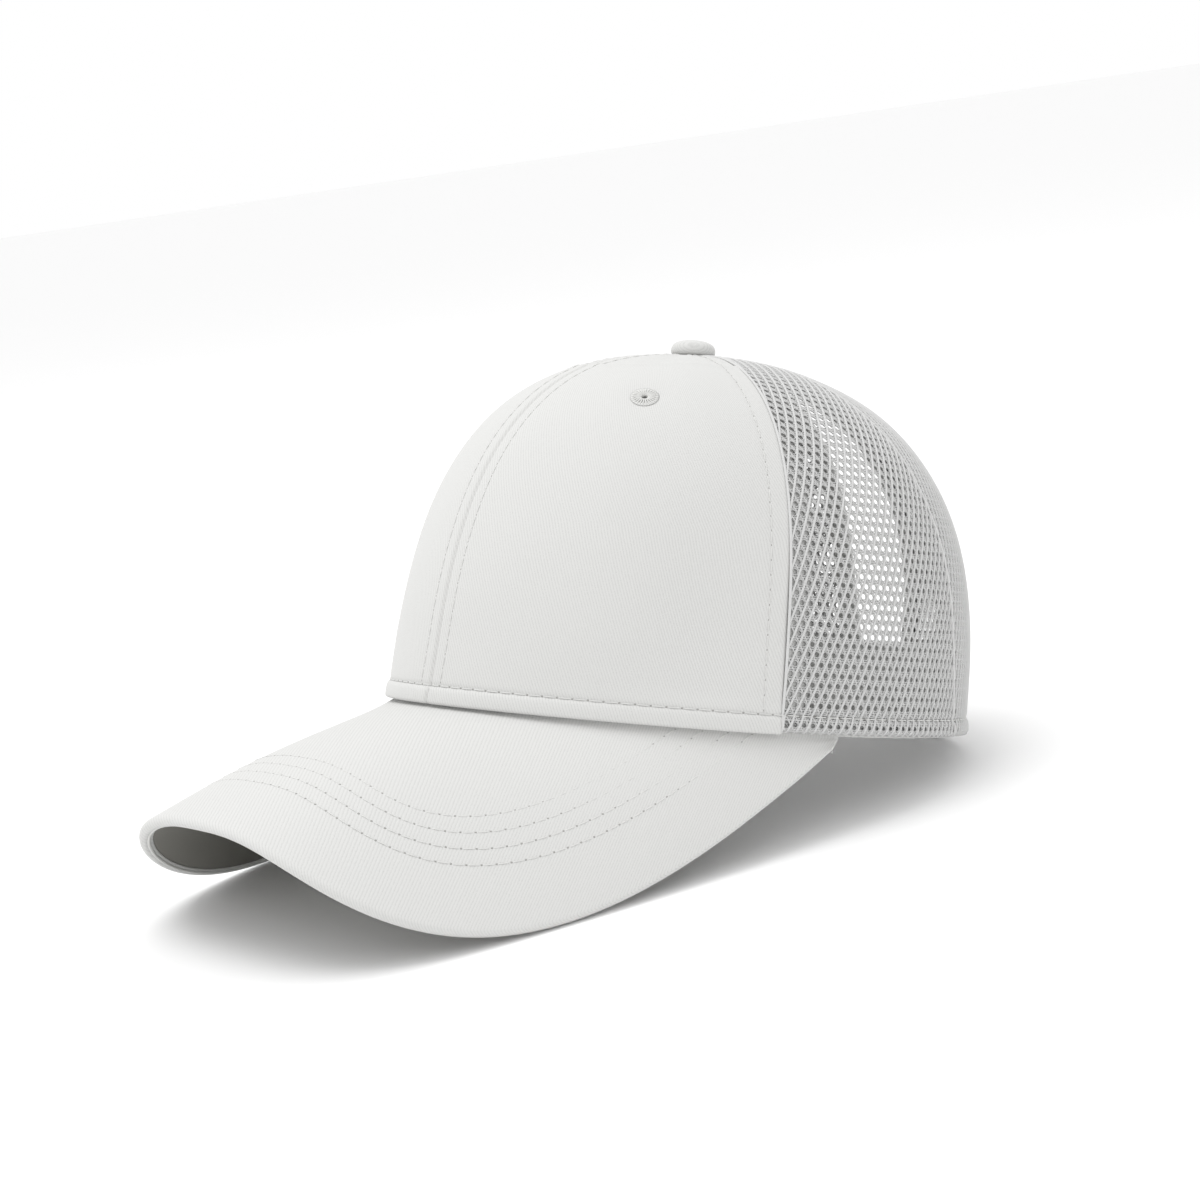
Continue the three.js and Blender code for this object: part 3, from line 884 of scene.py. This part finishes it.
def binding_place(sign):
    """A tape folded round the opening's edge, flatter towards the top and shut at its foot."""
    section = np.array(BINDING_SECTION)
    lengths = np.concatenate([[0], np.cumsum(np.linalg.norm(np.diff(section, axis=0), axis=1))])

    def place(u, v):
        at = u * lengths[-1]
        outside = np.interp(at, lengths, section[:, 0])
        depth = np.interp(at, lengths, section[:, 1])
        up = mix(0.35, profile_end(math.pi - 0.2), v)
        fade = np.clip((profile_end(math.pi) - up - 7.5) / 7.5, 0, 1)
        depth = np.where(depth < 0.95, mix(0.95, depth, mix(0.6, 1, fade)), depth)
        angle = beside_opening(outside, up)
        up = np.minimum(up, profile_end(angle))
        swell = np.where(depth < 0.9, 0.45 * hump(up, 2.5, 2.8), 0)
        depth = mix(0.9, depth, smooth(-0.4, 1.6, up))
        pucker = 0.06 * np.sin(up * 1.35) * hump(outside, 6.8, 1.2)
        return crown(sign * angle, up, depth - swell + pucker), np.stack([at, up], -1)
    return place


def binding(sign, name, node):
    mesh = cloth_sheet(34, 150, binding_place(sign), (0, 0, 40), lambda u, v: 0.1 < u < 0.3)
    made = piece(name, mesh, TAPE_TWILL, [node])
    return thicken(made, BINDING_CLOTH)


def sweatband_place(u, v):
    """Up the outer face, over the folded top and down the inner face."""
    height = SWEATBAND_HEIGHT - 0.3
    radius = SWEATBAND_FOLD_RADIUS
    total = 2 * height + math.pi * radius
    at = v * total
    turn = np.clip((at - height) / radius, 0, math.pi)
    down = np.maximum(at - height - math.pi * radius, 0)
    up = np.where(at < height, at, height + radius * np.sin(turn) - down) + 0.1
    puffed = 0.3 * np.sin(np.clip(up / height, 0, 1) * math.pi)
    depth = SWEATBAND_DEPTH + 0.1 + radius * (1 - np.cos(turn)) + np.where(turn > 1.5, puffed, 0)
    stitched = 0.3 * hump(up, 25.5, 0.8) * np.where(turn > 1.5, -1, 1)
    end = beside_opening(4.0, up)
    angle = mix(-end, end, u)
    return crown(angle, up, depth + stitched), np.stack([angle * 92, at], -1)


def sweatband():
    mesh = cloth_sheet(220, 40, sweatband_place, (0, 0, 10), lambda u, v: v < 0.4)
    made = piece("sweatband_cloth", mesh, BAND_CLOTH, ["sweatband"])
    return thicken(made, SWEATBAND_CLOTH)


# The visor

def lip_radius(across):
    return np.minimum(VISOR_THICKNESS / 2, visor_length(across) * 0.3)


def visor_cloth(points):
    """Flat cloth coordinates over the visor: the length round its arch, and forward."""
    x = np.linspace(0, CORNER[0] + VISOR_SPREAD, 400)
    arch = (VISOR_ARCH_AT_CORNERS + VISOR_ARCH_AT_TIP) / 2
    slope = VISOR_ARCH_POWER * arch / CORNER[0] * (x / CORNER[0]) ** (VISOR_ARCH_POWER - 1)
    lengths = np.concatenate([[0], np.cumsum(np.hypot(1, (slope[1:] + slope[:-1]) / 2) * np.diff(x))])
    round_arch = np.interp(np.abs(points[..., 0]), x, lengths) * np.sign(points[..., 0])
    return np.stack([round_arch, -points[..., 1] * 1.15], -1)


def visor_waves(across, out):
    """Soft, slow waves in the cover, fading out near its root and its edge."""
    x = across * 75
    slow = np.sin(x * 0.06 + out * 4.1 + 0.5) * np.sin(out * 5.0 + x * 0.021)
    return 0.12 * slow * smooth(0.05, 0.2, out) * smooth(1, 0.85, out)


def visor_cover_place(u, v):
    """Up inside the crown's hem, out over the top, round the lip and a little way under."""
    inner = 1 - VISOR_WALL_SHARE
    side = np.clip((np.abs(u * 2 - 1) - inner) / VISOR_WALL_SHARE, 0, 1)
    across = np.clip((u * 2 - 1) / inner, -1, 1)
    length = visor_length(across)
    radius = lip_radius(across)
    flat_run = length - radius
    tuck = np.minimum(VISOR_TUCK, length * 0.25)
    root, top, lip, under = (np.clip((v - low) / (high - low), 0, 1) for low, high in VISOR_COVER_SHARES)
    lip = lip * math.pi
    out = flat_run * top + radius * np.sin(lip) - under * tuck
    depth = radius * (1 - np.cos(lip)) + (VISOR_THICKNESS - 2 * radius) * (lip / math.pi)
    share = out / length
    depth = depth + visor_waves(across, share) * (lip <= 0)
    depth = mix(depth, VISOR_THICKNESS, side)
    points = visor(across, share, depth)
    points[..., 2] += VISOR_ROOT_TURN_UP * (1 - root) * (1 - side)
    flat = visor_cloth(points) + np.stack([np.zeros_like(lip), lip * radius], -1)
    return points, flat


def visor_cover():
    mesh = cloth_sheet(200, 90, visor_cover_place, (0, -120, -200), lambda u, v: 0.1 < v < 0.7)
    made = piece("visor_cover", mesh, VISOR_TWILL, ["visor_top"])
    return thicken(made, VISOR_CLOTH["cover"])


def visor_lining_place(u, v):
    across = u * 2 - 1
    length = visor_length(across)
    inset = np.minimum(VISOR_TUCK + 1.0, length * 0.4)
    share = v * (length - inset) / length
    points = visor(across, share, np.full(len(share), VISOR_THICKNESS - 0.25))
    return points, visor_cloth(points)


def visor_lining():
    mesh = cloth_sheet(120, 50, visor_lining_place, (0, -120, 200))
    # The lining's dark grey is painted shade on white cloth.
    made = piece("visor_lining", mesh, PAINTED_SHADE_UNDERSIDE, ["visor_under"])
    return thicken(made, VISOR_CLOTH["lining"])


def visor_piping():
    """The thin rounded line where the cover is tucked against the underside."""
    cord = Strands()
    across = np.linspace(-0.955, 0.955, 320)
    length = visor_length(across)
    inset = np.minimum(VISOR_TUCK + 0.4, length * 0.35)
    share = 1 - inset / length
    path = visor(across, share, np.full(len(across), VISOR_THICKNESS - 0.05))
    cord.add(path, -visor_out(across, share), 1.1, 0.9, 8)
    return piece("visor_piping", cord.mesh(), PIPING)


def visor_rows():
    """The rows of stitching on the visor, as lines at even distances from its edge."""
    across = np.linspace(0, 0.995, 400)
    out = np.linspace(0, 1, 141)
    points = visor_top(across[:, None], out[None, :])
    edge = points[:, -1]
    distance = np.linalg.norm(points[:, :, None, :] - edge[None, None, ::2, :], axis=-1).min(axis=-1)
    lines = []
    for wanted in VISOR_ROWS_FROM_EDGE:
        target = wanted * (1 - 0.12 * (np.abs(points[..., 0]) / 60) ** 2)
        beyond = distance - target
        at = []
        for i in range(len(across)):
            if beyond[i, 0] < 0:
                share = beyond[i - 1, 0] / (beyond[i - 1, 0] - beyond[i, 0])
                at.append((mix(across[i - 1], across[i], share), 0.0))
                break
            j = np.argmax(beyond[i] < 0)
            share = beyond[i, j - 1] / (beyond[i, j - 1] - beyond[i, j])
            at.append((across[i], mix(out[j - 1], out[j], share)))
        half = np.array(at)
        lines.append(np.concatenate([half[:0:-1] * [-1, 1], half]))
    return lines


def visor_stitching():
    stitches, hole_shadows = Strands(), Strands()
    for line in visor_rows():
        smoothed = line.copy()
        for _ in range(30):
            smoothed[1:-1] = (smoothed[:-2] + smoothed[2:]) / 2
        across, share = smoothed.T
        path = visor(across, np.maximum(share, 0.005))
        sew(stitches, hole_shadows, path, visor_out(across, share), STITCH_LENGTH["visor"], rise=-0.1)
    finish_stitching(stitches, hole_shadows, "visor")


def finish_stitching(stitches, hole_shadows, name):
    piece(f"{name}_stitches", stitches.mesh(), THREAD)
    piece(f"{name}_needle_hole_shadows", hole_shadows.mesh(), NEEDLE_HOLE_SHADOW)


def crown_stitching():
    stitches, hole_shadows = Strands(), Strands()

    def row(angle, up, depth, kind):
        sew(stitches, hole_shadows, crown(angle, up, depth), crown_out(angle, up), STITCH_LENGTH[kind])

    end = float(beside_opening(BINDING_WIDTH + 0.5, HEM_STITCHES_UP))
    angle = np.linspace(-end, end, 1400)
    up = np.full(len(angle), HEM_STITCHES_UP)
    cotton = front_depth(angle, up) * (np.abs(angle) < FRONT_SEAM[0])
    row(angle, up, -hem_swell(up) + cotton - 0.12, "hem")
    for sign in (-1, 1):
        up = np.linspace(*STITCHED_FROM_TO["seams"], 500)
        angle = CENTRE_TOPSTITCH / girth(0.03, up)
        row(sign * angle, up, -hem_swell(up) + front_depth(angle, up), "centre")
        angle = front_seam(up) - SIDE_TOPSTITCH / girth(front_seam(up), up)
        row(sign * angle, up, -hem_swell(up) + front_depth(angle, up), "side")
        up = np.linspace(*STITCHED_FROM_TO["binding"], 500)
        angle = sign * beside_opening(BINDING_STITCHES_OUTSIDE, up)
        row(angle, up, np.full(len(up), -0.42), "binding")
    finish_stitching(stitches, hole_shadows, "crown")


# The button and the eyelets

BUTTON_STEPS = 64
BUTTON_SUNK = 0.4
BUTTON_PROFILE = (
    # out from the middle (mm), up from the crown's top (mm)
    (0, 5.3), (1.5, 5.26), (3.0, 5.1), (4.5, 4.78), (5.7, 4.3), (6.5, 3.75), (7.05, 3.0), (7.3, 2.2),
    (7.35, 1.4), (7.2, 0.7), (6.8, 0.25), (6.1, 0.05), (5.0, 0.1), (0, 0.1),
)


def button():
    mesh = bmesh.new()
    seat = GAP + CROWN_HEIGHT - BUTTON_SUNK
    verts = [mesh.verts.new((out * MM, 0, up * MM)) for out, up in BUTTON_PROFILE]
    edges = [mesh.edges.new(pair) for pair in zip(verts, verts[1:])]
    bmesh.ops.spin(mesh, geom=verts + edges, axis=(0, 0, 1), cent=(0, 0, 0), angle=2 * math.pi,
                   steps=BUTTON_STEPS, use_merge=True, use_duplicate=False)
    bmesh.ops.remove_doubles(mesh, verts=mesh.verts, dist=1e-6)
    bmesh.ops.recalc_face_normals(mesh, faces=mesh.faces)
    cloth = mesh.loops.layers.uv.verify()
    for face in mesh.faces:
        for loop in face.loops:
            loop[cloth].uv = (loop.vert.co.x / MM, loop.vert.co.y / MM - loop.vert.co.z / MM)
    place = REST.copy()
    place.translation = REST.translation * MM + REST.to_3x3() @ Vector((0, 0, seat * MM))
    bmesh.ops.transform(mesh, matrix=place, verts=mesh.verts)
    return piece("covered_button", mesh, BUTTON_TWILL, ["button"])


def eyelet(sign, name):
    """A sewn eyelet: radial stitches over a ring, round an open hole."""
    thread = Strands()
    mirror = np.array([sign, 1, 1])
    seat, out = EYELET_POINT * mirror, unit(EYELET_OUT * mirror)
    level = unit(np.cross(np.array([0.0, 0.0, 1.0]), out))
    upward = np.cross(out, level)
    for i in range(EYELET_STITCHES):
        turn = 2 * math.pi * i / EYELET_STITCHES
        along = level * math.cos(turn) + upward * math.sin(turn)
        path = seat + EYELET_STITCH_OUT[:, None] * along + EYELET_STITCH_RISE[:, None] * out
        thread.add(path, np.array([out] * len(path)), 0.5, 0.6)
    turns = np.linspace(0, 2 * math.pi, 41)[:, None]
    ring = np.cos(turns) * level + np.sin(turns) * upward
    for radius, rise, width in EYELET_RINGS:
        thread.add(seat + ring * radius + out * rise, np.array([out] * len(ring)), width, 0.35)
    return piece(f"{name}_eyelet_stitches", thread.mesh(), THREAD, [f"eyelet_{name}"])


# The studio

def studio():
    mesh = bmesh.new()
    bmesh.ops.create_circle(mesh, cap_ends=True, segments=96, radius=FLOOR_RADIUS)
    data = bpy.data.meshes.new("studio_floor")
    mesh.to_mesh(data)
    mesh.free()
    floor = bpy.data.objects.new("studio_floor", data)
    bpy.context.scene.collection.objects.link(floor)
    data.materials.append(plain("pale studio floor", (0.96, 0.96, 0.96), 0.9, 0.0))
    world = bpy.data.worlds.new("studio")
    world.use_nodes = True
    world.node_tree.nodes["Background"].inputs["Color"].default_value = (1.0, 1.0, 1.0, 1)
    world.node_tree.nodes["Background"].inputs["Strength"].default_value = 1.0
    bpy.context.scene.world = world
    bpy.context.scene.view_settings.view_transform = "Standard"
    lamp = bpy.data.lights.new("key", "AREA")
    lamp.size = LAMP_SIZE
    lamp.energy = LAMP_POWER
    made = bpy.data.objects.new("key", lamp)
    made.location = LAMP_AT
    made.rotation_euler = (Vector(LAMP_AIMED_AT) - made.location).to_track_quat("-Z", "Y").to_euler()
    bpy.context.scene.collection.objects.link(made)


def camera():
    seen = bpy.data.cameras.new("camera")
    seen.sensor_width = 36
    seen.lens = CAMERA_LENS
    seen.clip_start = 0.01
    seen.clip_end = 100
    turn = REST.to_3x3() @ Euler([math.radians(part) for part in CAMERA_TURN]).to_matrix()
    made = bpy.data.objects.new("camera", seen)
    made.matrix_world = Matrix.Translation(REST @ Vector(CAMERA_AT) * MM) @ turn.to_4x4()
    bpy.context.scene.collection.objects.link(made)
    bpy.context.scene.camera = made


cotton_front(1, "right")
cotton_front(-1, "left")
for sign, side in ((1, "right"), (-1, "left")):
    net_panel(sign, f"{side}_side_net", side_middle, side_limits, f"side_mesh_{side}")
    net_panel(sign, f"{side}_back_net", back_middle, back_limits, f"back_mesh_{side}")
    seam_tape(sign, f"{side}_side_seam_tape", front_seam, f"side_tape_{side}")
    seam_tape(sign, f"{side}_back_seam_tape", back_seam, f"back_tape_{side}")
    binding(sign, f"{side}_opening_binding", f"binding_{side}")
    eyelet(sign, side)
sweatband()
visor_cover()
visor_lining()
visor_piping()
visor_stitching()
crown_stitching()
button()
studio()
camera()
